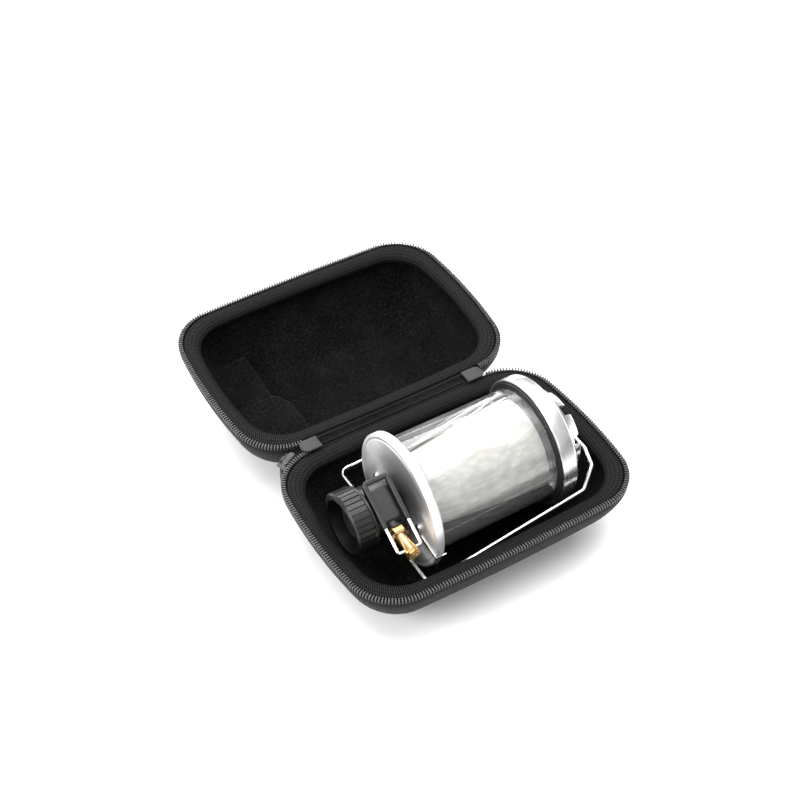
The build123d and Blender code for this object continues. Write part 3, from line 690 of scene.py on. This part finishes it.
def buildTab(side, heading):
    # square towards the middle of the hinge, round towards the zip
    low, high = (Vector(corner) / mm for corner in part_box("hinge_patch_" + side))
    middle = (low + high) / 2
    halfLong = (high.x - low.x) / 2
    halfWide = (high.y - low.y) / 2
    radius = halfWide
    bulge = radius * tabShape["roundPart"]
    roundMid = halfLong - bulge
    outline = [(-halfLong, -halfWide), (-halfLong, halfWide)]
    outline += [(roundMid + bulge * math.sin(a), radius * math.cos(a))
                for a in (math.pi * i / tabShape["roundSteps"] for i in range(tabShape["roundSteps"] + 1))]
    points = [Vector(((middle.x + heading * x) * mm, (middle.y + y) * mm, low.z * mm)) for x, y in outline]
    deselectAll()
    bpy.ops.mesh.primitive_circle_add(vertices=len(points), radius=mm, fill_type="NGON")
    tab = bpy.context.object
    tab.name = side + "HingeTab"
    for vertex, point in zip(tab.data.vertices, points):
        vertex.co = point
    editOn(tab, "FACE")
    bpy.ops.mesh.select_all(action="SELECT")
    bpy.ops.mesh.extrude_region_move(TRANSFORM_OT_translate={"value": (0, 0, (high.z - low.z) * mm)})
    bpy.ops.mesh.bevel(offset=tabShape["bevel"] * mm, segments=3, affect="EDGES")
    bpy.ops.mesh.select_all(action="SELECT")
    bpy.ops.mesh.normals_make_consistent(inside=False)
    for cut in range(1, tabShape["cuts"]):
        bpy.ops.mesh.select_all(action="SELECT")
        level = (low.y + (high.y - low.y) * cut / tabShape["cuts"]) * mm
        bpy.ops.mesh.bisect(plane_co=(0, level, 0), plane_no=(0, 1, 0))
    bpy.ops.object.mode_set(mode="OBJECT")
    finishPiece(tab, None, "tab", ("hinge_patch_" + side,), 40)
    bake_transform(tab)


# the lantern's turned pieces, all about one line along X
lanternAxis = (0.0, -53.5, 38.4)


def turnPiece(name, profile, steps=128, edge=0.0, edgeSteps=2):
    # profile: a closed list of (X, radius), millimetres; edge rounds its corners
    points = [Vector((x, lanternAxis[1], lanternAxis[2] + r)) * mm for x, r in profile]
    piece = startLoop(name, points)
    editOn(piece)
    bpy.ops.mesh.select_all(action="SELECT")
    if edge:
        bpy.ops.mesh.bevel(offset=edge * mm, segments=edgeSteps, affect="VERTICES")
        bpy.ops.mesh.select_all(action="SELECT")
    bpy.ops.mesh.spin(steps=steps, angle=2 * math.pi, center=Vector(lanternAxis) * mm, axis=(1, 0, 0))
    bpy.ops.mesh.select_all(action="SELECT")
    bpy.ops.mesh.remove_doubles(threshold=mergeWithin["turned"] * mm)
    bpy.ops.mesh.select_all(action="SELECT")
    bpy.ops.mesh.normals_make_consistent(inside=False)
    bpy.ops.object.mode_set(mode="OBJECT")
    return piece


turnedPieces = {
    # the dish that carries the glass: a flat polished face, a bead and a rolled rim
    "basePlate": {"node": "base_plate", "slot": "polished_aluminium", "finish": "polished", "edge": 0.25,
                  "profile": ((-31.6, 4.05), (-31.6, 30.2), (-31.35, 30.8), (-31.6, 31.4), (-31.6, 32.5),
                              (-31.0, 33.1), (-27.5, 33.1), (-27.0, 32.6), (-27.0, 31.9), (-30.4, 31.9),
                              (-30.4, 4.05))},
    "glassTube": {"node": "glass", "slot": "clear_glass", "finish": "glass", "edge": 0.5,
                  "profile": ((-28.8, 25.9), (-28.8, 28.0), (38.0, 28.0), (38.0, 25.9))},
    "hoodRing": {"node": "hood_ring", "slot": "satin_aluminium", "finish": "satin", "edge": 0.3,
                 "profile": ((39.1, 30.6), (38.6, 31.2), (39.1, 31.8), (46.3, 31.8), (47.3, 30.8),
                             (47.3, 25.2), (39.4, 25.2), (39.4, 30.0), (46.1, 30.0), (46.1, 30.6))},
    "lowerGasket": {"node": "lower_gasket", "slot": "seal_rubber", "finish": "rubber", "edge": 0.4,
                    "profile": ((-30.4, 25.2), (-30.4, 29.4), (-28.8, 29.4), (-28.8, 25.2))},
    "upperGasket": {"node": "upper_gasket", "slot": "seal_rubber", "finish": "rubber", "edge": 0.35,
                    "profile": ((38.0, 25.2), (38.0, 30.4), (39.4, 30.4), (39.4, 25.2))},
    "foamSleeve": {"node": "foam_sleeve", "slot": "white_foam", "finish": "foam", "edge": 1.2,
                   "profile": ((-30.2, 9.0), (-30.2, 20.6), (36.0, 20.6), (36.0, 9.0))},
    "collarFlange": {"node": "collar_flange", "slot": "dark_metal", "finish": "paint", "edge": 0.2,
                     "profile": ((-51.2, 7.15), (-51.2, 15.4), (-50.2, 15.4), (-50.2, 7.15))},
}


def buildTurned():
    for name, plan in turnedPieces.items():
        piece = turnPiece(name, plan["profile"], edge=plan["edge"])
        finishPiece(piece, "lantern", plan["finish"], (plan["node"],), 40)
    print("turned pieces of the lantern")


# the crown on the hood: the same turning, with notches cut from its free end
crown = {"profile": ((47.3, 28.2), (47.3, 29.4), (48.2, 29.4), (50.6, 22.4), (56.5, 20.0), (57.5, 19.0),
                     (57.5, 17.8), (55.2, 17.8), (55.2, 1.9), (54.0, 1.9), (54.0, 18.2), (50.6, 21.2)),
         "steps": 160, "notches": 8, "first": 20.0, "wide": 5.2, "deep": 4.2, "radial": 7.0, "radius": 20.0,
         "end": 57.5, "edge": 0.22, "edgeSteps": 2, "sharp": 25}


def buildCrown():
    piece = turnPiece("hoodCrown", crown["profile"], steps=crown["steps"])
    cutters = []
    for number in range(crown["notches"]):
        heading = math.radians(crown["first"] + 360 * number / crown["notches"])
        deselectAll()
        bpy.ops.mesh.primitive_cube_add(size=1.0)
        cutter = bpy.context.object
        cutter.scale = (2 * crown["deep"] * mm, crown["wide"] * mm, crown["radial"] * mm)
        cutter.rotation_euler = (heading, 0, 0)
        cutter.location = Vector((crown["end"], lanternAxis[1] - crown["radius"] * math.sin(heading),
                                  lanternAxis[2] + crown["radius"] * math.cos(heading))) * mm
        cutters.append(cutter)
    deselectAll()
    for cutter in cutters:
        cutter.select_set(True)
    bpy.context.view_layer.objects.active = cutters[0]
    bpy.ops.object.join()
    deselectAll()
    piece.select_set(True)
    bpy.context.view_layer.objects.active = piece
    notches = piece.modifiers.new("notches", "BOOLEAN")
    notches.operation = "DIFFERENCE"
    notches.object = cutters[0]
    bpy.ops.object.modifier_apply(modifier="notches")
    bpy.data.objects.remove(cutters[0])
    rounded = piece.modifiers.new("rounded", "BEVEL")
    rounded.width = crown["edge"] * mm
    rounded.segments = crown["edgeSteps"]
    rounded.angle_limit = math.radians(crown["sharp"])
    bpy.ops.object.modifier_apply(modifier="rounded")
    finishPiece(piece, "lantern", "satin", ("hood_crown",), 40)
    print("notched crown")


addCamera()
addLights()
buildShells()
buildBindings()
buildTeeth()
buildPad()
buildHinge()
buildTurned()
buildCrown()

# the floor it stands on
floorSize = 6.0
deselectAll()
bpy.ops.mesh.primitive_plane_add(size=floorSize, location=(0, 0, 0))
floor = bpy.context.object
floor.name = "floor"
floor.data.materials.append(floorPaint())
